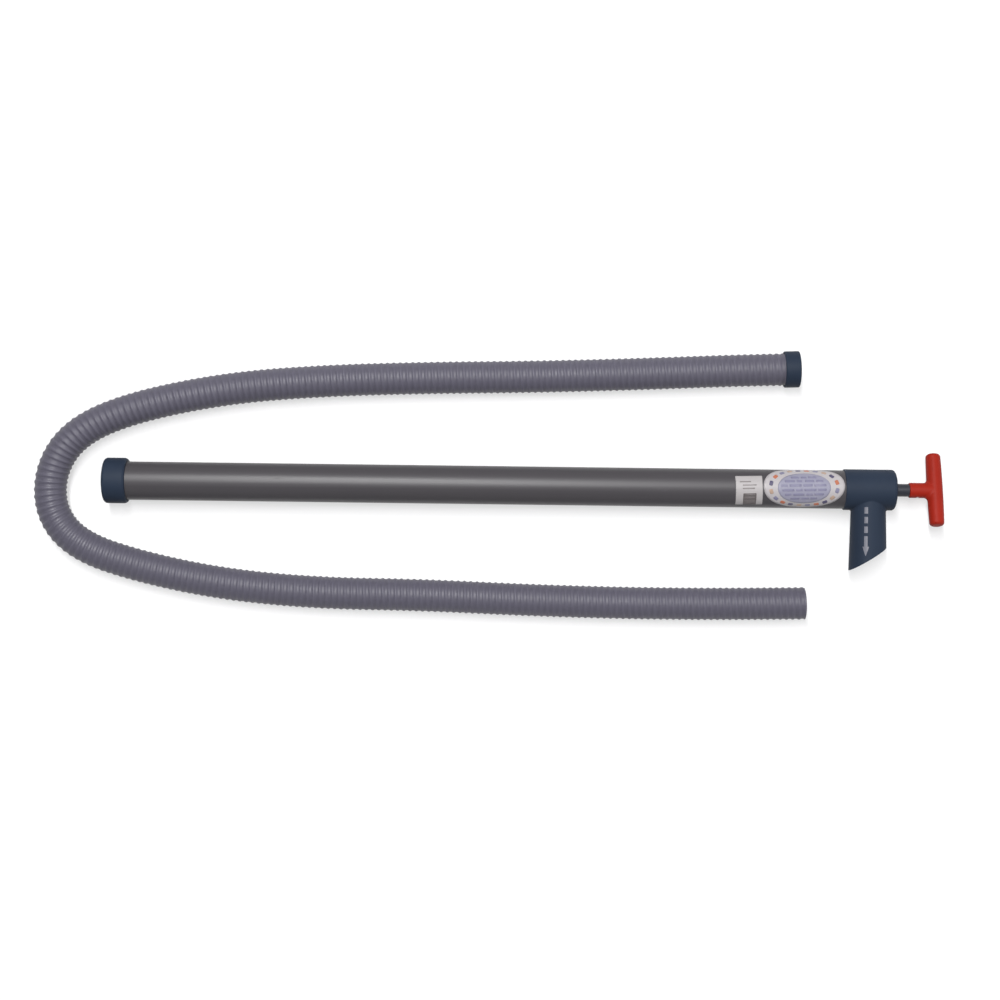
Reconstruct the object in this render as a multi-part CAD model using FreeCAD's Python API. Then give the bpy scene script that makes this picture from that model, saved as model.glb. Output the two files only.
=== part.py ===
"""Hand bilge pump with a loose hose, lying on the floor.

Millimetres.  The origin is on the barrel's axis at the foot's inlet face, +X runs along the barrel to
the handle, +Z is up, and the spout points to -Y.
"""
import FreeCAD, Part
import math
import os

Vector = FreeCAD.Vector
AXIS_X = Vector(1, 0, 0)
FIXED_GAP = 0.05          # radial gap between pieces that are glued, pressed or slid together

# Barrel: 1 1/4 inch pipe
BARREL_R = 21.08
BORE_R = 19.05
BARREL_START, BARREL_END = 19.0, 820.2

# Foot cap, which holds the inlet socket and the foot valve
FOOT_R = 25.0
FOOT_LENGTH = 25.2
INLET_R = 20.1
INLET_DEPTH = 11.0
FOOT_THROAT_R = 15.5
FOOT_SHOULDER = 15.0
GASKET_T = 1.0
SEAT_T = BARREL_START - FOOT_SHOULDER - GASKET_T
STEM_R = 2.0
FOOT_FLAP_T, FOOT_PLATE_T = 2.0, 1.0
FOOT_LIFT = 4.0
STEM_HEAD_T = 2.0

# Discharge head and its spout
HEAD_R = 22.4
HEAD_START, HEAD_END = 810.2, 866.7
CHAMBER_END = 855.7
SPOUT_X = 838.3
SPOUT_PORT_R = 15.5
SPOUT_SOCKET_R, SPOUT_SHOULDER = 18.0, 38.0
SPOUT_ROOT_R, SPOUT_TIP_R = 18.5, 21.0
SPOUT_REACH = 100.0       # of the uncut cone
SPOUT_LONG_TIP, SPOUT_SHORT_TIP = 88.7, 62.6

# Rod guide, wiper and circlip in the head
GUIDE_NOSE, GUIDE_FLANGE, GUIDE_SEAT = 846.7, 854.2, 860.7
GUIDE_HOLE_R = 11.0
WIPER_END = 863.7
ROD_EXIT_R = 7.8
CIRCLIP_T = 1.2
CIRCLIP_R = 19.7

# Plunger
ROD_R, ROD_BORE_R = 7.0, 5.0
PISTON_START = 33.5       # lower face of the cup retainer
RETAINER_T, CUP_BASE_T, CUP_HEIGHT = 2.5, 2.5, 10.0
HUB_R, HUB_T = 17.0, 6.0
PORT_R, PORT_RING_R = 3.0, 11.0
VALVE_T, VALVE_PLATE_T, VALVE_LIFT = 2.0, 1.0, 3.0
STOP_WASHER_T = 2.0
SLEEVE_LENGTH, BUMPER_T, SLEEVE_R = 52.0, 4.0, 9.5
SCREW_R, SCREW_HEAD_R, SCREW_HEAD_T = 2.5, 6.0, 3.5

# Handle
HANDLE_START, BAR_X = 882.5, 911.2
BAR_R, BAR_END_R, BAR_LENGTH, BAR_TURN = 8.7, 8.0, 81.8, 17.0
BAR_EDGE_R, BAR_OFFSET, STEM_FILLET_R = 3.6, 0.9, 4.5
GRIP_STEM_R = 8.3
ROD_END = 901.2
HANDLE_PIN_X, PIN_R = 891.7, 1.6

# Labels: thin skins on the barrel.  Widths are measured round it, angles from straight up towards +Y.
LABEL_T = 0.15
OVAL_X, OVAL_ANGLE, OVAL_TILT = 764.4, 9.0, 1.5
OVAL_HALF_LENGTH, OVAL_HALF_WIDTH = 44.2, 28.0
SQUARE_X, SQUARE_ANGLE, SQUARE_TILT = 704.8, -8.5, 1.7
SQUARE_LENGTH, SQUARE_WIDTH = 29.2, 35.4

# Hose and cuff
FLOOR_Z = -FOOT_R
HOSE_R, HOSE_BORE_R = 17.9, 15.9
CUFF_R, CUFF_LENGTH, CUFF_SOCKET_DEPTH, CUFF_LIP_R = 20.0, 16.8, 12.5, 15.9
HOSE_Z = FLOOR_Z + HOSE_R
CUFF_Z = FLOOR_Z + CUFF_R
HOSE_ROUTE = [
    (757.0, 131.7, CUFF_Z), (698.2, 129.8, CUFF_Z), (588.2, 124.5, HOSE_Z), (468.2, 119.9, HOSE_Z),
    (358.2, 117.6, HOSE_Z), (238.2, 112.9, HOSE_Z), (129.2, 103.0, HOSE_Z), (24.2, 79.9, HOSE_Z),
    (-35.8, 51.8, HOSE_Z), (-62.3, 10.0, HOSE_Z), (-60.6, -38.0, HOSE_Z), (-28.7, -73.0, HOSE_Z),
    (40.2, -95.1, HOSE_Z), (130.2, -112.7, HOSE_Z), (234.2, -121.2, HOSE_Z), (348.2, -121.8, HOSE_Z),
    (468.2, -126.2, HOSE_Z), (588.2, -128.2, HOSE_Z), (698.2, -127.5, HOSE_Z), (770.6, -125.8, HOSE_Z),
]
ARC_SHARE = 0.45          # of the shorter run beside a bend


def rod(start, end, radius):
    """A solid cylinder on the X axis."""
    return Part.makeCylinder(radius, end - start, Vector(start, 0, 0), AXIS_X)


def ring(start, end, outer, inner):
    """A hollow cylinder on the X axis."""
    return rod(start, end, outer).cut(rod(start, end, inner))


def rounded(solid, radius, *circles):
    """Fillets the circular edges given as (x, radius) pairs."""
    edges = [
        edge
        for edge in solid.Edges
        if isinstance(edge.Curve, Part.Circle)
        and any(
            abs(edge.Curve.Center.x - x) < 1e-4 and abs(edge.Curve.Radius - r) < 1e-4
            for x, r in circles
        )
    ]
    return solid.makeFillet(radius, edges)


def with_ports(plate, start, end, port_r, ring_r, count=6):
    """Cuts a ring of round ports through a plate."""
    for index in range(count):
        angle = 2 * math.pi * index / count
        centre = Vector(start - 1, ring_r * math.cos(angle), ring_r * math.sin(angle))
        plate = plate.cut(Part.makeCylinder(port_r, end - start + 2, centre, AXIS_X))
    return plate


def turned_by(shape, degrees):
    """Turns a shape about the X axis."""
    shape = shape.copy()
    shape.rotate(Vector(0, 0, 0), AXIS_X, degrees)
    return shape


def cross_pin(x, radius, length):
    """A pin across the rod, in line with the handle's bar."""
    pin = Part.makeCylinder(radius, length, Vector(x, -length / 2, 0), Vector(0, 1, 0))
    return turned_by(pin, -BAR_TURN)


def barrel_parts():
    return {"barrel_tube": ring(BARREL_START, BARREL_END, BARREL_R, BORE_R)}


def foot_parts():
    cap = rounded(rod(0, FOOT_LENGTH, FOOT_R), 3.0, (0, FOOT_R))
    cap = rounded(cap, 2.0, (FOOT_LENGTH, FOOT_R))
    cap = cap.cut(rod(-1, INLET_DEPTH, INLET_R))
    cap = cap.cut(rod(0, FOOT_LENGTH, FOOT_THROAT_R))
    cap = cap.cut(rod(FOOT_SHOULDER, FOOT_LENGTH + 1, BARREL_R + FIXED_GAP))

    seat_start = FOOT_SHOULDER + GASKET_T
    gasket = ring(FOOT_SHOULDER, seat_start, BARREL_R - FIXED_GAP, FOOT_THROAT_R)
    seat = ring(seat_start, BARREL_START, BARREL_R - FIXED_GAP, STEM_R + FIXED_GAP)
    seat = with_ports(seat, seat_start, BARREL_START, 4.2, 9.3)

    plate_start = BARREL_START + FOOT_FLAP_T
    plate_end = plate_start + FOOT_PLATE_T
    head_start = plate_end + FOOT_LIFT + 0.2
    flap = ring(BARREL_START, plate_start, FOOT_THROAT_R, STEM_R + FIXED_GAP)
    plate = ring(plate_start, plate_end, 10.0, STEM_R + FIXED_GAP)

    clip_start = seat_start - 1.0
    stem = rod(clip_start - 1.5, head_start, STEM_R)
    stem = stem.fuse(rod(head_start, head_start + STEM_HEAD_T, 5.0)).removeSplitter()
    stem = rounded(stem, 1.2, (head_start + STEM_HEAD_T, 5.0))
    stem = stem.cut(ring(clip_start, seat_start, STEM_R + 1, STEM_R - 0.5))
    clip = ring(clip_start, seat_start, 4.2, STEM_R - 0.5 + FIXED_GAP)
    slot = Part.makeBox(2, 6, 2.6, Vector(clip_start - 0.5, 0, -1.3))
    clip = clip.cut(slot)
    return {
        "foot_cap": cap,
        "foot_seat_gasket": gasket,
        "foot_valve_seat": seat,
        "foot_valve_disc": flap,
        "foot_valve_plate": plate,
        "foot_valve_stem": stem,
        "foot_valve_clip": clip,
    }


def spout_core(start, end, radius):
    """A solid cylinder on the spout's axis, from start to end out from the barrel's axis."""
    return Part.makeCylinder(radius, end - start, Vector(SPOUT_X, -start, 0), Vector(0, -1, 0))


def head_shell():
    """The moulded head: a capped tee with a slant-cut spout."""
    body = rounded(rod(HEAD_START, HEAD_END, HEAD_R), 4.0, (HEAD_END, HEAD_R))
    body = rounded(body, 1.2, (HEAD_START, HEAD_R))
    spout = Part.makeCone(
        SPOUT_ROOT_R, SPOUT_TIP_R, SPOUT_REACH, Vector(SPOUT_X, 0, 0), Vector(0, -1, 0)
    )
    left, right = SPOUT_X - SPOUT_TIP_R, SPOUT_X + SPOUT_TIP_R
    slope = (SPOUT_LONG_TIP - SPOUT_SHORT_TIP) / (right - left)
    past = 30.0
    corners = [
        Vector(left - past, -SPOUT_LONG_TIP - slope * past, -past),
        Vector(right + past, -SPOUT_SHORT_TIP + slope * past, -past),
        Vector(right + past, -2 * SPOUT_REACH, -past),
        Vector(left - past, -2 * SPOUT_REACH, -past),
    ]
    beyond = Part.Face(Part.makePolygon(corners + corners[:1])).extrude(Vector(0, 0, 2 * past))
    shell = body.fuse(spout.cut(beyond)).removeSplitter()
    joint_line = [
        edge
        for edge in shell.Edges
        if -HEAD_R < edge.CenterOfMass.y < -1 and abs(edge.CenterOfMass.x - SPOUT_X) < SPOUT_TIP_R
    ]
    shell = shell.makeFillet(2.0, joint_line)

    shell = shell.cut(rod(HEAD_START - 1, BARREL_END, BARREL_R + FIXED_GAP))
    shell = shell.cut(rod(BARREL_END, CHAMBER_END, BORE_R))
    shell = shell.cut(rod(CHAMBER_END, WIPER_END, GUIDE_HOLE_R))
    shell = shell.cut(rod(WIPER_END, HEAD_END + 1, ROD_EXIT_R))
    shell = shell.cut(spout_core(0, SPOUT_REACH, SPOUT_PORT_R))
    shell = shell.cut(spout_core(SPOUT_SHOULDER, SPOUT_REACH, SPOUT_SOCKET_R))
    groove = rod(GUIDE_FLANGE - CIRCLIP_T, GUIDE_FLANGE, CIRCLIP_R + FIXED_GAP)
    return shell.cut(groove)


def head_parts():
    rod_gap_r = ROD_R + FIXED_GAP
    guide = rod(GUIDE_NOSE, GUIDE_FLANGE, 10.0)
    guide = guide.fuse(rod(GUIDE_FLANGE, CHAMBER_END, BORE_R - FIXED_GAP))
    guide = guide.fuse(rod(CHAMBER_END, GUIDE_SEAT, GUIDE_HOLE_R - FIXED_GAP)).removeSplitter()
    guide = guide.cut(rod(GUIDE_NOSE - 1, GUIDE_SEAT + 1, rod_gap_r))
    wiper = ring(GUIDE_SEAT, WIPER_END, GUIDE_HOLE_R - FIXED_GAP, rod_gap_r)
    circlip = ring(GUIDE_FLANGE - CIRCLIP_T, GUIDE_FLANGE, CIRCLIP_R, BORE_R - 1.6)
    gap = Part.makeBox(CIRCLIP_T + 2, 25, 8, Vector(GUIDE_FLANGE - CIRCLIP_T - 1, 0, -4))
    return {
        "discharge_head": head_shell(),
        "rod_guide": guide,
        "rod_wiper": wiper,
        "guide_circlip": circlip.cut(gap),
    }


def piston_parts():
    cup_start = PISTON_START + RETAINER_T
    hub_start = cup_start + CUP_BASE_T
    hub_end = hub_start + HUB_T
    spigot_r = 14.5
    screw_hole_r = SCREW_R + FIXED_GAP

    retainer = ring(PISTON_START, cup_start, 17.5, screw_hole_r)
    retainer = with_ports(retainer, PISTON_START, cup_start, PORT_R, PORT_RING_R)
    cup = ring(cup_start, hub_start, BORE_R - FIXED_GAP, spigot_r + FIXED_GAP)
    lip = ring(hub_start, cup_start + CUP_HEIGHT, BORE_R - FIXED_GAP, HUB_R + 0.3)
    cup = cup.fuse(lip).removeSplitter()
    hub = rod(cup_start, hub_start, spigot_r).fuse(rod(hub_start, hub_end, HUB_R)).removeSplitter()
    hub = hub.cut(rod(cup_start - 1, hub_end + 1, screw_hole_r))
    hub = with_ports(hub, cup_start, hub_end, PORT_R, PORT_RING_R)

    washer_start = hub_end + VALVE_T + VALVE_PLATE_T + VALVE_LIFT + 0.2
    sleeve_start = washer_start + STOP_WASHER_T
    sleeve_end = sleeve_start + SLEEVE_LENGTH
    slide_r = ROD_R + FIXED_GAP
    plate_start = hub_end + VALVE_T
    valve = ring(hub_end, plate_start, 15.5, slide_r)
    plate = ring(plate_start, plate_start + VALVE_PLATE_T, 12.5, slide_r)
    washer = ring(washer_start, sleeve_start, 12.0, slide_r)

    pin_x = sleeve_start + 10.0
    pin_hole = cross_pin(pin_x, PIN_R + FIXED_GAP, 4 * SLEEVE_R)
    sleeve = ring(sleeve_start, sleeve_end, SLEEVE_R, slide_r).cut(pin_hole)
    bumper = ring(sleeve_end, sleeve_end + BUMPER_T, SLEEVE_R, slide_r)

    plug_end = hub_end + 24.0
    plug = ring(hub_end, plug_end, ROD_BORE_R - FIXED_GAP, screw_hole_r).cut(pin_hole)
    screw = rod(PISTON_START - SCREW_HEAD_T, PISTON_START, SCREW_HEAD_R)
    screw = rounded(screw, 1.5, (PISTON_START - SCREW_HEAD_T, SCREW_HEAD_R))
    screw = screw.fuse(rod(PISTON_START, pin_x - 3.0, SCREW_R)).removeSplitter()
    slot = Part.makeBox(1.4, 30, 1.4, Vector(PISTON_START - SCREW_HEAD_T, -15, -0.7))

    tube = ring(hub_end, ROD_END, ROD_R, ROD_BORE_R).cut(pin_hole)
    tube = tube.cut(cross_pin(HANDLE_PIN_X, PIN_R + FIXED_GAP, 4 * ROD_R))
    return {
        "cup_retainer": retainer,
        "cup_seal": cup,
        "piston_hub": hub,
        "piston_valve_disc": valve,
        "piston_valve_plate": plate,
        "valve_stop_washer": washer,
        "stop_sleeve": sleeve,
        "sleeve_pin": cross_pin(pin_x, PIN_R, 2 * SLEEVE_R - 1.0),
        "stop_bumper": bumper,
        "rod_end_plug": plug,
        "piston_screw": screw.cut(slot),
        "plunger_rod": tube,
    }


def handle_parts():
    half = BAR_LENGTH / 2
    crown = Part.Arc(
        Vector(BAR_X + BAR_END_R, -half, 0), Vector(BAR_X + BAR_R, 0, 0),
        Vector(BAR_X + BAR_END_R, half, 0),
    )
    back = Part.makePolygon([
        Vector(BAR_X + BAR_END_R, half, 0), Vector(BAR_X, half, 0), Vector(BAR_X, -half, 0),
        Vector(BAR_X + BAR_END_R, -half, 0),
    ])
    outline = Part.Wire([crown.toShape(), *back.Edges])
    bar = Part.Face(outline).revolve(Vector(BAR_X, 0, 0), Vector(0, 1, 0), 360)
    ends = [
        edge
        for edge in bar.Edges
        if isinstance(edge.Curve, Part.Circle) and abs(abs(edge.Curve.Center.y) - half) < 1e-6
    ]
    bar = bar.makeFillet(BAR_EDGE_R, ends)
    bar.translate(Vector(0, BAR_OFFSET, 0))
    stem = rounded(rod(HANDLE_START, BAR_X, GRIP_STEM_R), 1.0, (HANDLE_START, GRIP_STEM_R))
    handle = bar.fuse(stem).removeSplitter()
    joint_line = [
        edge
        for edge in handle.Edges
        if HANDLE_START + 5 < edge.CenterOfMass.x < BAR_X - 1
        and abs(edge.CenterOfMass.y) < GRIP_STEM_R
        and edge.BoundBox.YLength > GRIP_STEM_R
        and edge.BoundBox.ZLength > GRIP_STEM_R
    ]
    handle = handle.makeFillet(STEM_FILLET_R, joint_line)
    handle = turned_by(handle, -BAR_TURN)
    handle = handle.cut(rod(HANDLE_START - 1, ROD_END, ROD_R + FIXED_GAP))
    pin_length = 2 * GRIP_STEM_R - 0.6
    handle = handle.cut(cross_pin(HANDLE_PIN_X, PIN_R + FIXED_GAP, 4 * GRIP_STEM_R))
    return {
        "t_handle": handle,
        "handle_pin": cross_pin(HANDLE_PIN_X, PIN_R, pin_length),
    }


def label_skin(x, angle, tilt, outline):
    """A thin skin on the barrel, from a flat outline of (along, around) points."""
    turn = math.radians(tilt)
    points = []
    for along, around in outline:
        sweep = along * math.sin(turn) + around * math.cos(turn)
        shift = along * math.cos(turn) - around * math.sin(turn)
        points.append(FreeCAD.Base.Vector2d(math.radians(90 - angle) - sweep / BARREL_R, shift))
    faces, rims = [], []
    for radius in (BARREL_R, BARREL_R + LABEL_T):
        surface = Part.Cylinder()
        surface.Center, surface.Axis, surface.Radius = Vector(x, 0, 0), AXIS_X, radius
        rim = [
            Part.Geom2d.Line2dSegment(a, b).toShape(surface)
            for a, b in zip(points, points[1:] + points[:1])
        ]
        rims.append(rim)
        faces.append(Part.Face(surface, Part.Wire(rim)))
    faces += [Part.makeRuledSurface(inner, outer) for inner, outer in zip(*rims)]
    shell = Part.Shell(faces)
    shell.sewShape()
    skin = Part.Solid(shell)
    if skin.Volume < 0:
        skin.reverse()
    return skin


def label_parts():
    sides = 40
    oval = [
        (
            OVAL_HALF_LENGTH * math.cos(2 * math.pi * side / sides),
            OVAL_HALF_WIDTH * math.sin(2 * math.pi * side / sides),
        )
        for side in range(sides)
    ]
    along, around = SQUARE_LENGTH / 2, SQUARE_WIDTH / 2
    square = [(-along, -around), (along, -around), (along, around), (-along, around)]
    return {
        "oval_label": label_skin(OVAL_X, OVAL_ANGLE, OVAL_TILT, oval),
        "square_label": label_skin(SQUARE_X, SQUARE_ANGLE, SQUARE_TILT, square),
    }


def smooth_path(points):
    """Straight runs joined by tangent arcs.  Gives the wire and the radius of each arc."""
    points = [Vector(*point) for point in points]
    edges, radii, start = [], [], points[0]
    for before, corner, after in zip(points, points[1:], points[2:]):
        way_in = (corner - before).normalize()
        way_out = (after - corner).normalize()
        half_turn = way_in.getAngle(way_out) / 2
        trim = ARC_SHARE * min(corner.distanceToPoint(before), corner.distanceToPoint(after))
        radius = trim / math.tan(half_turn)
        inward = (way_out - way_in).normalize()
        middle = corner + inward * (radius / math.cos(half_turn) - radius)
        arc_start, arc_end = corner - way_in * trim, corner + way_out * trim
        edges.append(Part.LineSegment(start, arc_start).toShape())
        edges.append(Part.Arc(arc_start, middle, arc_end).toShape())
        radii.append(radius)
        start = arc_end
    edges.append(Part.LineSegment(start, points[-1]).toShape())
    return Part.Wire(edges), radii


def swept(path, start, direction, radius):
    """A round solid swept along a path."""
    circle = Part.Wire(Part.Circle(start, direction, radius).toShape())
    return path.makePipeShell([circle], True, False)


def hose_parts():
    path, radii = smooth_path(HOSE_ROUTE)
    start, second = Vector(*HOSE_ROUTE[0]), Vector(*HOSE_ROUTE[1])
    direction = (second - start).normalize()
    hose = swept(path, start, direction, HOSE_R).cut(swept(path, start, direction, HOSE_BORE_R))
    section = math.pi * (HOSE_R**2 - HOSE_BORE_R**2)
    print("hose arc radii (mm):", [round(radius) for radius in radii])
    print("hose length (mm):", round(path.Length, 1))
    print("hose volume / (section x length):", round(hose.Volume / (section * path.Length), 5))

    outward = direction * -1
    shoulder = start
    mouth = shoulder + outward * (CUFF_LENGTH - CUFF_SOCKET_DEPTH)
    face = mouth - outward * CUFF_LENGTH
    cuff = Part.makeCylinder(CUFF_R, CUFF_LENGTH, face, outward)
    cuff = cuff.makeFillet(0.8, [e for e in cuff.Edges if isinstance(e.Curve, Part.Circle)])
    cuff = cuff.cut(Part.makeCylinder(HOSE_R + FIXED_GAP, CUFF_SOCKET_DEPTH, face, outward))
    cuff = cuff.cut(Part.makeCylinder(CUFF_LIP_R, 2 * CUFF_LENGTH, face, outward))
    print("cuff mouth (mm):", [round(v, 3) for v in mouth], [round(v, 5) for v in outward])
    return {"hose": hose, "hose_cuff": cuff}


def main():
    os.makedirs("parts", exist_ok=True)
    groups = (
        barrel_parts, foot_parts, head_parts, piston_parts, handle_parts, label_parts, hose_parts,
    )
    for group in groups:
        for name, shape in group().items():
            (solid,) = shape.Solids
            solid.exportStep(f"parts/{name}.step")


main()
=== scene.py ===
"""Looks of the hand bilge pump and its loose ribbed hose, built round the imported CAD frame.

Metres, in the CAD's own frame: the barrel lies along +X from the foot at the origin, +Z is up and the
spout points to -Y.
"""
import math

import bmesh
import bpy
from mathutils import Matrix, Vector


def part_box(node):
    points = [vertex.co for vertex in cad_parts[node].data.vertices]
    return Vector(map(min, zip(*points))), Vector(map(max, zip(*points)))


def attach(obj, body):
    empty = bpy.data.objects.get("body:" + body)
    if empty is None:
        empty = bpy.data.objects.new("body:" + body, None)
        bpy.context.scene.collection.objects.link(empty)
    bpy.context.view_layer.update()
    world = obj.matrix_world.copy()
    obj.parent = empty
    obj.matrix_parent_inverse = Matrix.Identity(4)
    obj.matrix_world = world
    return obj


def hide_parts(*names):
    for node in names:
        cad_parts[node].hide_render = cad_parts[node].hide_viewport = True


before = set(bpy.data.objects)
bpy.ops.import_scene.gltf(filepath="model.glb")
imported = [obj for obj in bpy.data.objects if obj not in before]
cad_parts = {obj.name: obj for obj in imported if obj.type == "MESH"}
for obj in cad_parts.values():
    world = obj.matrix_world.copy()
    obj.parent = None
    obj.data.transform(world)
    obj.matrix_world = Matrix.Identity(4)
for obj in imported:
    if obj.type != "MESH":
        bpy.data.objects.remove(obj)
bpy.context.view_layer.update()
MM = 0.001

# ---------------------------------------------------------------- camera

CAMERA_PLACE = (0.4339, -0.0162, 2.0)
CAMERA_ROLL = math.radians(0.72)
CAMERA_LENS = 65.57


def make_camera():
    data = bpy.data.cameras.new("camera")
    data.lens = CAMERA_LENS
    camera = bpy.data.objects.new("camera", data)
    camera.location = CAMERA_PLACE
    camera.rotation_euler = (0, 0, CAMERA_ROLL)
    bpy.context.scene.collection.objects.link(camera)
    bpy.context.scene.camera = camera


# ---------------------------------------------------------------- node helpers

# Where the Mix node keeps its colour sockets.
MIX_SHARE, MIX_A, MIX_B, MIX_RESULT = 0, 6, 7, 2


class Shader:
    """A Principled material with short calls for the nodes used here."""

    def __init__(self, name, roughness=0.45, specular=0.5):
        self.material = bpy.data.materials.new(name)
        self.material.use_nodes = True
        self.tree = self.material.node_tree
        self.surface = self.tree.nodes["Principled BSDF"]
        self.surface.inputs["Roughness"].default_value = roughness
        self.surface.inputs["Specular IOR Level"].default_value = specular
        self.place = self.node("ShaderNodeTexCoord").outputs["Object"]

    def node(self, kind, **settings):
        node = self.tree.nodes.new(kind)
        for key, value in settings.items():
            setattr(node, key, value)
        return node

    def feed(self, socket, value):
        if isinstance(value, bpy.types.NodeSocket):
            self.tree.links.new(value, socket)
        else:
            socket.default_value = value

    def stretched(self, scale):
        mapping = self.node("ShaderNodeMapping")
        self.feed(mapping.inputs["Vector"], self.place)
        mapping.inputs["Scale"].default_value = scale
        return mapping.outputs["Vector"]

    def noise(self, scale, detail=3.0, roughness=0.5, stretch=None):
        node = self.node("ShaderNodeTexNoise")
        self.feed(node.inputs["Vector"], self.place if stretch is None else self.stretched(stretch))
        node.inputs["Scale"].default_value = scale
        node.inputs["Detail"].default_value = detail
        node.inputs["Roughness"].default_value = roughness
        return node.outputs["Fac"]

    def ramp(self, value, *stops):
        """A grey ramp with two stops, each (position, grey)."""
        node = self.node("ShaderNodeValToRGB")
        for element, (position, grey) in zip(node.color_ramp.elements, stops):
            element.position = position
            element.color = (grey, grey, grey, 1)
        self.feed(node.inputs["Fac"], value)
        return node.outputs["Color"]

    def spread(self, value, low, high):
        """A 0 to 1 value carried to low to high."""
        node = self.node("ShaderNodeMapRange")
        self.feed(node.inputs["Value"], value)
        node.inputs["To Min"].default_value = low
        node.inputs["To Max"].default_value = high
        return node.outputs["Result"]

    def maths(self, operation, a, b):
        node = self.node("ShaderNodeMath", operation=operation)
        self.feed(node.inputs[0], a)
        self.feed(node.inputs[1], b)
        return node.outputs["Value"]

    def mix(self, share, a, b):
        """Colour a, going to colour b as share goes from 0 to 1."""
        node = self.node("ShaderNodeMix", data_type="RGBA")
        self.feed(node.inputs[MIX_SHARE], share)
        for number, colour in ((MIX_A, a), (MIX_B, b)):
            self.feed(node.inputs[number], (*colour, 1) if isinstance(colour, tuple) else colour)
        return node.outputs[MIX_RESULT]

    def colour(self, value):
        self.feed(self.surface.inputs["Base Color"], value)

    def rough(self, value):
        self.feed(self.surface.inputs["Roughness"], value)

    def bump(self, height, depth, strength):
        node = self.node("ShaderNodeBump")
        node.inputs["Strength"].default_value = strength
        node.inputs["Distance"].default_value = depth
        self.feed(node.inputs["Height"], height)
        self.feed(self.surface.inputs["Normal"], node.outputs["Normal"])

    def edges(self, width):
        """1 at convex edges and corners, 0 on flats."""
        bevel = self.node("ShaderNodeBevel", samples=4)
        bevel.inputs["Radius"].default_value = width
        normal = self.node("ShaderNodeNewGeometry").outputs["Normal"]
        dot = self.node("ShaderNodeVectorMath", operation="DOT_PRODUCT")
        self.feed(dot.inputs[0], bevel.outputs["Normal"])
        self.feed(dot.inputs[1], normal)
        return self.ramp(dot.outputs["Value"], (0.80, 1.0), (0.985, 0.0))


# ---------------------------------------------------------------- materials


def shade(colour, factor):
    return tuple(c * factor for c in colour)


def extruded_pipe(name, base, streak_scale, roughness):
    """Satin extruded plastic: long die lines, faint cloudiness and a few fine scuffs."""
    s = Shader(name, specular=0.30)
    lines = s.noise(60, 4, 0.6, stretch=(0.03, streak_scale, streak_scale))
    cloud = s.noise(9, 3)
    scuffs = s.ramp(s.noise(55, 6, 0.7, stretch=(0.35, 3.0, 3.0)), (0.66, 0.0), (0.74, 1.0))
    tone = s.mix(s.spread(lines, 0.1, 0.9), shade(base, 0.86), shade(base, 1.13))
    tone = s.mix(s.spread(cloud, 0.0, 0.35), tone, shade(base, 1.25))
    s.colour(s.mix(s.maths("MULTIPLY", scuffs, 0.16), tone, shade(base, 2.2)))
    s.rough(s.maths("ADD", s.spread(lines, roughness - 0.06, roughness + 0.08),
                    s.maths("MULTIPLY", scuffs, 0.12)))
    s.bump(lines, 0.00006, 0.5)
    return s.material


def moulded(name, base, roughness, wear):
    """Injection-moulded plastic: fine grain, faint flow clouds and paler rubbed edges."""
    s = Shader(name, specular=0.12)
    cloud = s.noise(22, 4, 0.55)
    grain = s.noise(900, 2, 0.5)
    tone = s.mix(s.spread(cloud, 0.0, 1.0), shade(base, 0.84), shade(base, 1.16))
    rubbed = s.maths("MULTIPLY", s.edges(0.0009), s.spread(s.noise(140, 4, 0.7), 0.1, 1.0))
    pale = tuple(c * 2.0 + 0.03 for c in base)
    s.colour(s.mix(s.maths("MULTIPLY", rubbed, wear), tone, pale))
    s.rough(s.maths("ADD", s.spread(cloud, roughness - 0.05, roughness + 0.07),
                    s.maths("MULTIPLY", s.spread(grain, -0.5, 0.5), 0.10)))
    s.bump(grain, 0.00005, 0.35)
    return s.material


def ribbed_hose():
    """Flexible PVC with a stiff, slightly paler helix, and grime in the valleys."""
    s = Shader("hose_pvc", specular=0.36)
    rib = s.node("ShaderNodeAttribute", attribute_name="rib").outputs["Fac"]
    cloud = s.noise(14, 4, 0.6)
    valley, crest = (0.065, 0.061, 0.084), (0.072, 0.068, 0.093)
    tone = s.mix(s.ramp(rib, (0.05, 0.0), (0.85, 1.0)), valley, crest)
    tone = s.mix(s.spread(cloud, 0.0, 0.5), tone, (0.062, 0.059, 0.077))
    dust = s.ramp(s.noise(260, 5, 0.7), (0.58, 0.0), (0.72, 1.0))
    s.colour(s.mix(s.maths("MULTIPLY", dust, 0.08), tone, (0.17, 0.16, 0.18)))
    s.rough(s.spread(cloud, 0.40, 0.56))
    s.bump(s.noise(700, 3), 0.00006, 0.4)
    return s.material


def rubber():
    s = Shader("black_rubber", specular=0.35)
    bloom = s.noise(120, 5, 0.65)
    s.colour(s.mix(s.ramp(bloom, (0.4, 0.0), (0.8, 1.0)), (0.014, 0.014, 0.015), (0.045, 0.044, 0.046)))
    s.rough(s.spread(bloom, 0.62, 0.82))
    s.bump(s.noise(1400, 3), 0.00005, 0.5)
    return s.material


def nylon():
    s = Shader("natural_nylon")
    cloud = s.noise(60, 4)
    s.colour(s.mix(cloud, (0.62, 0.59, 0.50), (0.78, 0.76, 0.70)))
    s.rough(s.spread(cloud, 0.34, 0.5))
    s.surface.inputs["Subsurface Weight"].default_value = 0.15
    s.surface.inputs["Subsurface Radius"].default_value = (0.002, 0.0015, 0.001)
    s.bump(s.noise(900, 2), 0.00004, 0.3)
    return s.material


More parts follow.
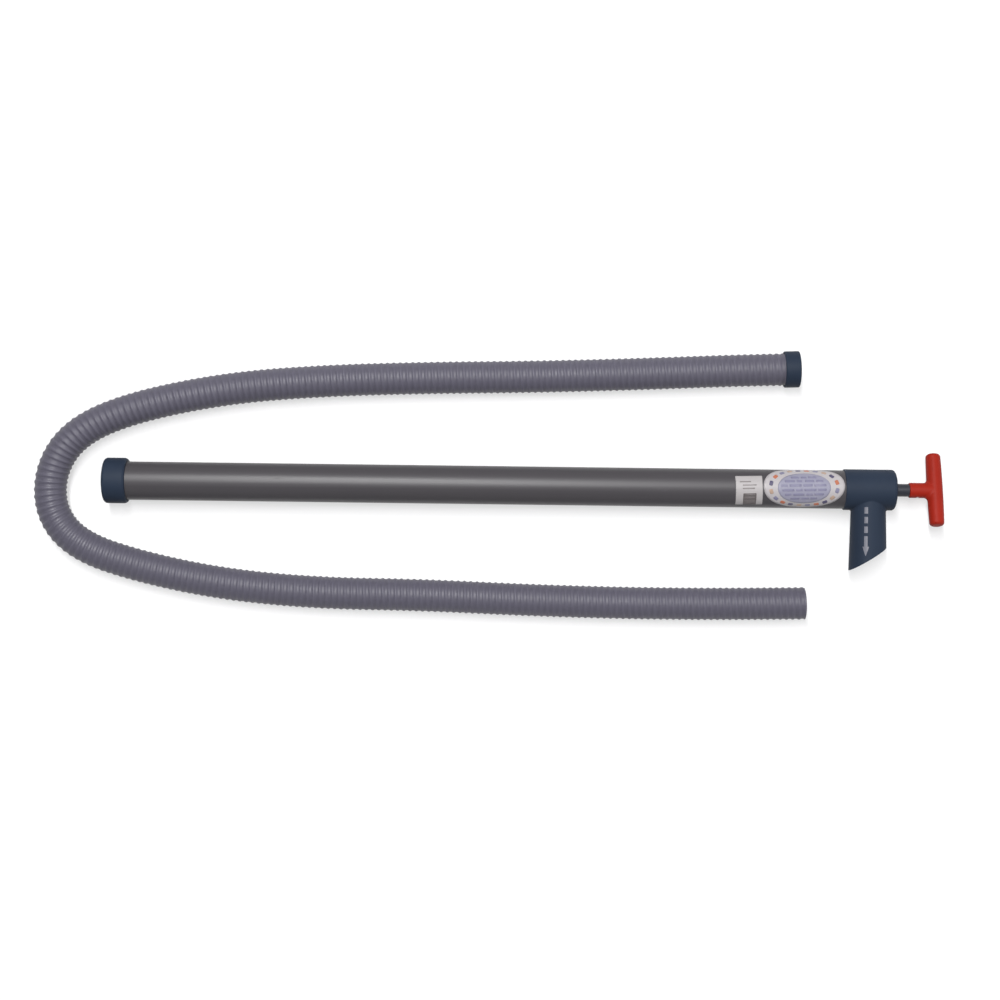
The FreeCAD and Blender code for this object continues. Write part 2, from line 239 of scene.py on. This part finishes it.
def stainless():
    s = Shader("stainless_steel")
    lines = s.noise(300, 5, 0.7, stretch=(6.0, 0.6, 0.6))
    s.surface.inputs["Metallic"].default_value = 1.0
    s.colour(s.mix(lines, (0.46, 0.46, 0.47), (0.68, 0.68, 0.69)))
    s.rough(s.spread(lines, 0.22, 0.4))
    s.bump(lines, 0.00003, 0.4)
    return s.material


def printed(name, ink, fade=0.25):
    """Ink on plastic film: uneven cover, rubbed patches and the film's own gloss."""
    s = Shader(name, specular=0.3)
    cover = s.noise(420, 5, 0.7)
    rub = s.ramp(s.noise(90, 5, 0.65), (0.52, 0.0), (0.78, 1.0))
    bare_film = (0.34, 0.33, 0.35)
    tone = s.mix(s.spread(cover, 0.0, 0.3), ink, shade(ink, 0.8))
    s.colour(s.mix(s.maths("MULTIPLY", rub, fade), tone, bare_film))
    s.rough(s.spread(cover, 0.3, 0.44))
    s.bump(s.noise(160, 3), 0.00008, 0.3)
    return s.material


def floor_paint():
    """Matt white, lit from behind like a light table, and dimmer far out and up the backdrop."""
    glow_near, glow_far = (1.6, 0.62), (7.0, 0.30)      # (distance from the origin, strength)
    s = Shader("pale_floor", roughness=0.9, specular=0.1)
    reach = s.node("ShaderNodeVectorMath", operation="LENGTH")
    s.feed(reach.inputs[0], s.place)
    far = s.node("ShaderNodeMapRange", interpolation_type="SMOOTHSTEP")
    s.feed(far.inputs["Value"], reach.outputs["Value"])
    for end, (distance, strength) in (("Min", glow_near), ("Max", glow_far)):
        far.inputs["From " + end].default_value = distance
        far.inputs["To " + end].default_value = strength
    s.surface.inputs["Emission Color"].default_value = (1, 1, 1, 1)
    s.feed(s.surface.inputs["Emission Strength"], far.outputs["Result"])
    s.colour(s.mix(s.noise(2.5, 3), (0.270, 0.270, 0.275), (0.285, 0.285, 0.285)))
    return s.material


PIPE_GREY = (0.042, 0.039, 0.043)
ROD_GREY = (0.019, 0.020, 0.027)
NAVY = (0.0140, 0.0215, 0.0370)
RED = (0.222, 0.0110, 0.0045)

grey_pipe = extruded_pipe("grey_pipe", PIPE_GREY, 9.0, 0.40)
dark_rod = extruded_pipe("dark_rod", ROD_GREY, 14.0, 0.44)
navy = moulded("navy_plastic", NAVY, 0.58, 0.3)
red = moulded("red_plastic", RED, 0.52, 0.2)
hose_pvc = ribbed_hose()
black_rubber = rubber()
natural_nylon = nylon()
steel = stainless()
film = printed("label_film", (0.322, 0.304, 0.312), fade=0.0)
sticker = printed("sticker_film", (0.310, 0.294, 0.296), fade=0.0)
lavender = printed("lavender_ink", (0.200, 0.197, 0.256))
violet = printed("violet_ink", (0.150, 0.146, 0.215))
orange = printed("orange_ink", (0.330, 0.110, 0.060))
peach = printed("peach_ink", (0.300, 0.215, 0.165))
navy_ink = printed("navy_ink", (0.065, 0.058, 0.105))
brown_ink = printed("brown_grey_ink", (0.072, 0.062, 0.062))
pale_brown_ink = printed("pale_brown_ink", (0.165, 0.150, 0.150))
white_print = printed("white_print", (0.108, 0.111, 0.135), fade=0.0)

CAD_FINISH = {
    navy: ["discharge_head"],
    dark_rod: ["plunger_rod"],
    red: ["t_handle"],
    black_rubber: ["foot_seat_gasket", "foot_valve_disc", "rod_wiper", "stop_bumper", "cup_seal",
                   "piston_valve_disc"],
    natural_nylon: ["foot_valve_seat", "foot_valve_plate", "rod_guide", "piston_hub",
                    "piston_valve_plate", "cup_retainer", "stop_sleeve", "rod_end_plug",
                    "valve_stop_washer"],
    steel: ["foot_valve_stem", "foot_valve_clip", "guide_circlip", "sleeve_pin", "piston_screw",
            "handle_pin"],
}


def finish_cad_nodes():
    for material, names in CAD_FINISH.items():
        for name in names:
            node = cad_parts[name]
            node.data.materials.clear()
            node.data.materials.append(material)


# ---------------------------------------------------------------- mesh helpers


def add_piece(name, vertices, faces, material, body, smooth=True):
    mesh = bpy.data.meshes.new(name)
    mesh.from_pydata([tuple(v) for v in vertices], [], faces)
    mesh.validate()
    bm = bmesh.new()
    bm.from_mesh(mesh)
    bmesh.ops.recalc_face_normals(bm, faces=bm.faces)
    bm.to_mesh(mesh)
    bm.free()
    mesh.materials.append(material)
    if smooth:
        mesh.shade_smooth()
    piece = bpy.data.objects.new(name, mesh)
    bpy.context.scene.collection.objects.link(piece)
    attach(piece, body)
    return piece


def ring_faces(rings, sides, closed=False):
    """Quads that join rings of points, each ring closed on itself."""
    faces = []
    for i in range(rings if closed else rings - 1):
        j = (i + 1) % rings
        for k in range(sides):
            m = (k + 1) % sides
            faces.append((i * sides + k, j * sides + k, j * sides + m, i * sides + m))
    return faces


def lathed(name, profile, place, material, body, sides=128):
    """A closed outline of (distance along, radius) in mm, turned about place's own X axis."""
    vertices = []
    for along, radius in profile:
        for k in range(sides):
            a = 2 * math.pi * k / sides
            vertices.append(place @ (Vector((along, radius * math.cos(a), radius * math.sin(a))) * MM))
    return add_piece(name, vertices, ring_faces(len(profile), sides, closed=True), material, body)


def soft_corners(outline, radius, steps=5):
    """Rounds the corners of a closed (along, radius) outline.  A corner may name its own radius."""
    result = []
    count = len(outline)
    for i, corner in enumerate(outline):
        here = Vector(corner[:2])
        size = corner[2] if len(corner) > 2 else radius
        before = Vector(outline[i - 1][:2]) - here
        after = Vector(outline[(i + 1) % count][:2]) - here
        reach = min(size, before.length * 0.45, after.length * 0.45)
        start, end = here + before.normalized() * reach, here + after.normalized() * reach
        for step in range(steps + 1):
            t = step / steps
            result.append((1 - t) ** 2 * start + 2 * t * (1 - t) * here + t * t * end)
    return [tuple(p) for p in result]


# ---------------------------------------------------------------- hose

HOSE_R, HOSE_BORE_R, RIB_DEPTH, RIB_PITCH = 0.0179, 0.0159, 0.0009, 0.0069
HOSE_SIDES, RINGS_PER_RIB, RINGS_PER_BORE_RING = 36, 9, 6
CUFF_Z, HOSE_Z = -0.005, -0.0071
HOSE_ROUTE = [
    (0.7570, 0.1317, CUFF_Z), (0.6982, 0.1298, CUFF_Z), (0.5882, 0.1245, HOSE_Z),
    (0.4682, 0.1199, HOSE_Z), (0.3582, 0.1176, HOSE_Z), (0.2382, 0.1129, HOSE_Z),
    (0.1292, 0.1030, HOSE_Z), (0.0242, 0.0799, HOSE_Z), (-0.0358, 0.0518, HOSE_Z),
    (-0.0623, 0.0100, HOSE_Z), (-0.0606, -0.0380, HOSE_Z), (-0.0287, -0.0730, HOSE_Z),
    (0.0402, -0.0951, HOSE_Z), (0.1302, -0.1127, HOSE_Z), (0.2342, -0.1212, HOSE_Z),
    (0.3482, -0.1218, HOSE_Z), (0.4682, -0.1262, HOSE_Z), (0.5882, -0.1282, HOSE_Z),
    (0.6982, -0.1275, HOSE_Z), (0.7706, -0.1258, HOSE_Z),
]
BORE_TONE = 0.3           # the rib value that colours the plain bore


def spline_points(route):
    """Points read from the smooth spline that has the route as its control points."""
    curve = bpy.data.curves.new("route", "CURVE")
    curve.dimensions = "3D"
    curve.resolution_u = 64
    spline = curve.splines.new("NURBS")
    spline.points.add(len(route) - 1)
    for point, place in zip(spline.points, route):
        point.co = (*place, 1)
    spline.order_u = 3
    spline.use_endpoint_u = True
    holder = bpy.data.objects.new("route", curve)
    mesh = bpy.data.meshes.new_from_object(holder)
    points = [v.co.copy() for v in mesh.vertices]
    bpy.data.objects.remove(holder)
    bpy.data.meshes.remove(mesh)
    return points


def even_stations(points, spacing):
    """Stations spaced evenly along a line of points: (place, direction)."""
    lengths = [0.0]
    for a, b in zip(points, points[1:]):
        lengths.append(lengths[-1] + (b - a).length)
    count = round(lengths[-1] / spacing)
    places, i = [], 0
    for n in range(count + 1):
        target = lengths[-1] * n / count
        while i < len(points) - 2 and lengths[i + 1] < target:
            i += 1
        t = (target - lengths[i]) / (lengths[i + 1] - lengths[i])
        places.append(points[i].lerp(points[i + 1], t))
    stations = []
    for n, place in enumerate(places):
        ahead, behind = places[min(n + 2, count)], places[max(n - 2, 0)]
        stations.append((place, (ahead - behind).normalized()))
    return stations


def rib_height(turns):
    """0 in a wide valley and 1 on the crest of the narrower helix."""
    wave = 0.5 - 0.5 * math.cos(2 * math.pi * turns)
    rise = max(0.0, (wave - 0.25) / 0.75)
    return rise * rise * (3 - 2 * rise)


def make_hose():
    line = spline_points(HOSE_ROUTE)
    stations = even_stations(line, RIB_PITCH / RINGS_PER_RIB)
    vertices, heights = [], []

    def add_ring(place, direction, index, radius_at):
        side = Vector((0, 0, 1)).cross(direction).normalized()
        up = direction.cross(side)
        for k in range(HOSE_SIDES):
            share = k / HOSE_SIDES
            a = 2 * math.pi * share
            radius, height = radius_at(index / RINGS_PER_RIB - share)
            vertices.append(place + (side * math.cos(a) + up * math.sin(a)) * radius)
            heights.append(height)

    def outside(turns):
        height = rib_height(turns)
        return HOSE_R - RIB_DEPTH * (1 - height), height

    def inside(turns):
        return HOSE_BORE_R, BORE_TONE

    for index, (place, direction) in enumerate(stations):
        add_ring(place, direction, index, outside)
    outer_rings = len(stations)
    bore = stations[::-RINGS_PER_BORE_RING]
    if bore[-1] is not stations[0]:
        bore.append(stations[0])
    for place, direction in bore:
        add_ring(place, direction, 0, inside)
    faces = ring_faces(outer_rings + len(bore), HOSE_SIDES, closed=True)
    piece = add_piece("ribbed_hose", vertices, faces, hose_pvc, "hose")
    rib = piece.data.attributes.new("rib", "FLOAT", "POINT")
    rib.data.foreach_set("value", heights)
    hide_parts("hose")


def make_cuff():
    start, second = Vector(HOSE_ROUTE[0]), Vector(HOSE_ROUTE[1])
    outward = (start - second).normalized()
    place = Matrix.Translation(start) @ outward.to_track_quat("X", "Z").to_matrix().to_4x4()
    outline = [
        (-12.5, 17.95, 0.3), (-12.5, 19.3, 0.5), (-11.6, 20.0, 0.6), (3.4, 20.0, 0.6), (4.3, 19.3, 0.5),
        (4.3, 16.5, 0.5), (3.7, 15.9, 0.3), (0.0, 15.9, 0.2), (0.0, 17.95, 0.2),
    ]
    piece = lathed("cuff", soft_corners(outline, 0.4), place, navy, "hose")
    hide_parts("hose_cuff")


# ---------------------------------------------------------------- foot cap


def make_foot_cap():
    outline = [
        (0.0, 20.1, 0.5), (0.0, 23.2, 1.2), (2.2, 25.0, 1.6), (22.6, 25.0, 1.6), (25.2, 23.4, 1.2),
        (25.2, 21.13, 0.3), (15.0, 21.13, 0.1), (15.0, 15.5, 0.3), (11.0, 15.5, 0.5),
        (11.0, 20.1, 0.3),
    ]
    piece = lathed("foot_cap_moulding", soft_corners(outline, 0.4), Matrix.Identity(4), navy,
                   "pump_body")
    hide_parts("foot_cap")


# ---------------------------------------------------------------- barrel


def make_barrel():
    """The pipe.  A ring of points near each end keeps the rims from shading its long sides."""
    start, end, wall, bore = 19.0, 820.2, 21.08, 19.05
    margin = 1.5
    near, far = start + margin, end - margin
    rims = soft_corners([(start, bore), (start, wall), (end, wall), (end, bore)], 0.5)
    half = len(rims) // 2
    outline = [*rims[:half], (near, wall), (far, wall), *rims[half:], (far, bore), (near, bore)]
    piece = lathed("barrel_pipe", outline, Matrix.Identity(4), grey_pipe, "pump_body", sides=160)
    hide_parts("barrel_tube")


# ---------------------------------------------------------------- labels

BARREL_R = 0.02108
FILM_T, INK_T = 0.00010, 0.000025
FIELD_V = -0.0022         # the tinted field sits a little below the middle of the oval


def on_barrel(x, angle, height):
    """A point over the barrel.  The angle runs from straight up towards +Y."""
    radius = BARREL_R + height
    return Vector((x, radius * math.sin(angle), radius * math.cos(angle)))


def oval_outline(half_length, half_width, sides=96):
    return [
        (half_length * math.cos(2 * math.pi * k / sides), half_width * math.sin(2 * math.pi * k / sides))
        for k in range(sides)
    ]


def box_outline(length, width, corner, steps=4, turn=0.0, longest=0.0012):
    """A rectangle with round corners, about its own centre, turned by an angle.

    Its long sides have points at least every `longest`, so that they bend round the barrel.
    """
    corners = []
    for quadrant, (sx, sy) in enumerate(((1, 1), (-1, 1), (-1, -1), (1, -1))):
        cx, cy = sx * (length / 2 - corner), sy * (width / 2 - corner)
        for step in range(steps + 1):
            a = math.pi / 2 * (quadrant + step / steps)
            corners.append((cx + corner * math.cos(a), cy + corner * math.sin(a)))
    points = []
    for i, (x, y) in enumerate(corners):
        after_x, after_y = corners[(i + 1) % len(corners)]
        parts = max(1, math.ceil(math.hypot(after_x - x, after_y - y) / longest))
        for part in range(parts):
            t = part / parts
            points.append((x + (after_x - x) * t, y + (after_y - y) * t))
    c, s = math.cos(turn), math.sin(turn)
    return [(c * x - s * y, s * x + c * y) for x, y in points]


class Wrap:
    """Carries flat label coordinates onto the barrel, and gathers patches into one piece.

    x and angle place the label's middle, and tilt turns it, both angles in degrees.
    """

    def __init__(self, x, angle, tilt):
        self.x, self.angle, self.tilt = x, math.radians(angle), math.radians(tilt)
        self.vertices, self.faces, self.face_slots, self.materials = [], [], [], []

    def point(self, u, v, height):
        c, s = math.cos(self.tilt), math.sin(self.tilt)
        x, arc = c * u - s * v, s * u + c * v
        return on_barrel(self.x + x, self.angle + arc / BARREL_R, height)

    def patch(self, outline, centre, material, bottom, top, rings=8):
        """A thin slab with a convex outline, in rings that shrink towards its centre."""
        if material not in self.materials:
            self.materials.append(material)
        slot = self.materials.index(material)
        base, count = len(self.vertices), len(outline)
        levels = [(1.0, bottom)] + [(1 - r / rings * 0.999, top) for r in range(rings)]
        for share, height in levels:
            for u, v in outline:
                self.vertices.append(self.point(centre[0] + u * share, centre[1] + v * share, height))
        middle = len(self.vertices)
        self.vertices.append(self.point(*centre, top))
        fresh = [tuple(base + i for i in f) for f in ring_faces(len(levels), count)]
        last = base + (len(levels) - 1) * count
        fresh += [(last + k, last + (k + 1) % count, middle) for k in range(count)]
        self.faces += fresh
        self.face_slots += [slot] * len(fresh)

    def piece(self, name):
        made = add_piece(name, self.vertices, self.faces, self.materials[0], "pump_body")
        for material in self.materials[1:]:
            made.data.materials.append(material)
        made.data.polygons.foreach_set("material_index", self.face_slots)
        return made


def even_spots(outline, count):
    """Places at even steps round a closed outline, each with the outline's direction there."""
    pairs = list(zip(outline, outline[1:] + outline[:1]))
    total = sum(math.dist(here, after) for here, after in pairs)
    walked, spots = 0.0, []
    for here, after in pairs:
        walked += math.dist(here, after)
        if walked > (len(spots) + 0.5) * total / count:
            spots.append((*here, math.atan2(after[1] - here[1], after[0] - here[0])))
    return spots


def make_oval_label():
    """White film with a tinted oval field, an even border of coloured dashes and rows of plain dashes."""
    wrap = Wrap(0.7644, 9.0, 1.5)
    wrap.patch(oval_outline(0.0442, 0.0280), (0, 0), film, 0, FILM_T, rings=16)
    ink_top = FILM_T + INK_T
    wrap.patch(oval_outline(0.0288, 0.0184), (0, FIELD_V), lavender, FILM_T, ink_top, rings=16)
    inks = (orange, navy_ink, peach, violet)
    border = oval_outline(0.0365, 0.0232, sides=960)
    for k, (u, v, along) in enumerate(even_spots(border, 20)):
        dash = box_outline(0.0056, 0.0040, 0.0012, turn=along)
        wrap.patch(dash, (u, v + FIELD_V / 2), inks[k % len(inks)], FILM_T, ink_top, rings=3)
    # Rows of plain dashes in place of print: (how far across, [(where a dash starts, its length)]).
    rows = [
        (0.0135, [(-0.014, 0.009), (-0.003, 0.006), (0.005, 0.009)]),
        (0.0085, [(-0.021, 0.011), (-0.008, 0.006), (0.001, 0.010), (0.013, 0.008)]),
        (0.0030, [(-0.025, 0.007), (-0.016, 0.013), (-0.001, 0.010), (0.011, 0.013)]),
        (-0.0025, [(-0.024, 0.013), (-0.009, 0.007), (0.000, 0.013), (0.015, 0.009)]),
        (-0.0080, [(-0.021, 0.007), (-0.012, 0.012), (0.002, 0.007), (0.011, 0.010)]),
        (-0.0132, [(-0.015, 0.010), (-0.003, 0.008), (0.007, 0.007)]),
    ]
    squeeze = 0.9             # draws the rows together, to fit the field
    for v, dashes in rows:
        for start, length in dashes:
            centre = (start + length / 2, FIELD_V + squeeze * v)
            wrap.patch(box_outline(length, 0.0026, 0.0006), centre, violet, ink_top, ink_top + INK_T,
                       rings=3)
    piece = wrap.piece("oval_label_print")
    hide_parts("oval_label")


def make_square_label():
    """A white sticker with three lines and a block of bars."""
    length, width = 0.0292, 0.0354
    wrap = Wrap(0.7048, -8.5, 1.7)
    wrap.patch(box_outline(length, width, 0.0008), (0, 0), sticker, 0, FILM_T, rings=16)
    ink_top = FILM_T + INK_T
    block_x, block_v, block_length, block_width = 0.0006, -0.0100, 0.0142, 0.0150
    wrap.patch(box_outline(block_length, block_width, 0.0005), (block_x, block_v), brown_ink, FILM_T,
               ink_top, rings=12)
    # Bars along the barrel, of uneven width: (how far across from the block's middle, and its width).
    bars = [(0.0058, 0.0009), (0.0039, 0.0005), (0.0022, 0.0010), (0.0003, 0.0005), (-0.0014, 0.0008),
            (-0.0033, 0.0010), (-0.0052, 0.0006)]
    for offset, bar_width in bars:
        wrap.patch(box_outline(block_length - 0.0018, bar_width, 0.0002), (block_x, block_v + offset),
                   pale_brown_ink, ink_top, ink_top + INK_T, rings=2)
    # Lines: (how far across, where it starts, and its length).
    lines = [(0.0105, -0.010, 0.012), (0.0066, -0.007, 0.015), (0.0030, -0.007, 0.013)]
    for v, start, line_length in lines:
        wrap.patch(box_outline(line_length, 0.0014, 0.0004), (start + line_length / 2, v),
                   pale_brown_ink, FILM_T, ink_top, rings=3)
    piece = wrap.piece("square_label_print")
    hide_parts("square_label")


# ---------------------------------------------------------------- spout arrow

SPOUT_X, SPOUT_ROOT_R, SPOUT_SLOPE = 0.8383, 0.0185, 0.025
ARROW_ANGLE = math.radians(-17.5)
ARROW_HALF_WIDTH, ARROW_T = 0.0019, 0.00012


def on_spout(reach, side, height):
    """A point over the spout: reach out from the barrel's axis, and side across the arrow."""
    radius = SPOUT_ROOT_R + SPOUT_SLOPE * reach
    angle = ARROW_ANGLE + side / radius
    radius += height
    return Vector((SPOUT_X + radius * math.sin(angle), -reach, radius * math.cos(angle)))


def make_flow_arrow():
    """Printed arrow that shows which way the water leaves: dashes and a pointed head."""
    vertices, faces = [], []

    def strip(start, end, half_widths):
        """A thin slab from start to end, whose half width runs between two values."""
        rows, columns = 10, 6
        base = len(vertices)
        for height in (0.0, ARROW_T):
            for i in range(rows + 1):
                t = i / rows
                half = half_widths[0] + (half_widths[1] - half_widths[0]) * t
                for k in range(columns + 1):
                    side = half * (2 * k / columns - 1)
                    vertices.append(on_spout(start + (end - start) * t, side, height))
        across, layer = columns + 1, (rows + 1) * (columns + 1)
        for level, offset in ((0, 0), (1, layer)):
            for i in range(rows):
                for k in range(columns):
                    a = base + offset + i * across + k
                    faces.append((a, a + 1, a + across + 1, a + across))
        rim = [i * across for i in range(rows + 1)]
        rim += [rows * across + k for k in range(1, across)]
        rim += [i * across + columns for i in range(rows - 1, -1, -1)]
        rim += list(range(columns - 1, 0, -1))
        for i, corner in enumerate(rim):
            after = rim[(i + 1) % len(rim)]
            faces.append((base + corner, base + after, base + layer + after, base + layer + corner))

    for start, end in ((0.0190, 0.0260), (0.0295, 0.0365), (0.0400, 0.0470), (0.0505, 0.0620)):
        strip(start, end, (ARROW_HALF_WIDTH, ARROW_HALF_WIDTH))
    strip(0.0620, 0.0720, (0.0036, 0.0002))
    piece = add_piece("flow_arrow", vertices, faces, white_print, "pump_body", smooth=False)


# ---------------------------------------------------------------- studio


def area_light(name, place, aim, size, power):
    data = bpy.data.lights.new(name, "AREA")
    data.shape = "RECTANGLE"
    data.size, data.size_y = size
    data.energy = power
    light = bpy.data.objects.new(name, data)
    light.location = place
    light.rotation_euler = (Vector(aim) - Vector(place)).to_track_quat("-Z", "Y").to_euler()
    bpy.context.scene.collection.objects.link(light)


def make_floor():
    """A round floor that curves up into a backdrop."""
    floor_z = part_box("foot_cap")[0].z
    flat_r, curve_r, wall_top = 5.0, 3.0, 7.0
    curve_steps, sides = 16, 96
    outline = [(r, 0.0) for r in (0.5, 1.0, 2.0, 3.5, flat_r)]
    for step in range(1, curve_steps + 1):
        a = math.pi / 2 * step / curve_steps
        outline.append((flat_r + curve_r * math.sin(a), curve_r * (1 - math.cos(a))))
    outline.append((flat_r + curve_r, wall_top))
    vertices = [
        (r * math.cos(2 * math.pi * k / sides), r * math.sin(2 * math.pi * k / sides), floor_z + z)
        for r, z in outline for k in range(sides)
    ]
    faces = ring_faces(len(outline), sides) + [tuple(range(sides))]
    mesh = bpy.data.meshes.new("floor")
    mesh.from_pydata(vertices, [], [tuple(reversed(face)) for face in faces])
    mesh.shade_smooth()
    mesh.materials.append(floor_paint())
    floor = bpy.data.objects.new("floor", mesh)
    bpy.context.scene.collection.objects.link(floor)


def make_lights():
    world = bpy.data.worlds.new("studio")
    world.use_nodes = True
    background = world.node_tree.nodes["Background"]
    background.inputs["Color"].default_value = (0.93, 0.95, 1.0, 1)
    background.inputs["Strength"].default_value = 0.16
    bpy.context.scene.world = world
    area_light("overhead", (0.055, 1.25, 3.8), (0.30, 0.0, 0.0), (0.25, 2.2), 245)
    area_light("side", (3.2, 0.3, 2.4), (0.43, 0.0, 0.0), (2.0, 2.0), 40)
    bpy.context.scene.view_settings.view_transform = "Standard"


def main():
    make_camera()
    finish_cad_nodes()
    make_cuff()
    make_hose()
    make_foot_cap()
    make_barrel()
    make_oval_label()
    make_square_label()
    make_flow_arrow()
    make_floor()
    make_lights()


main()
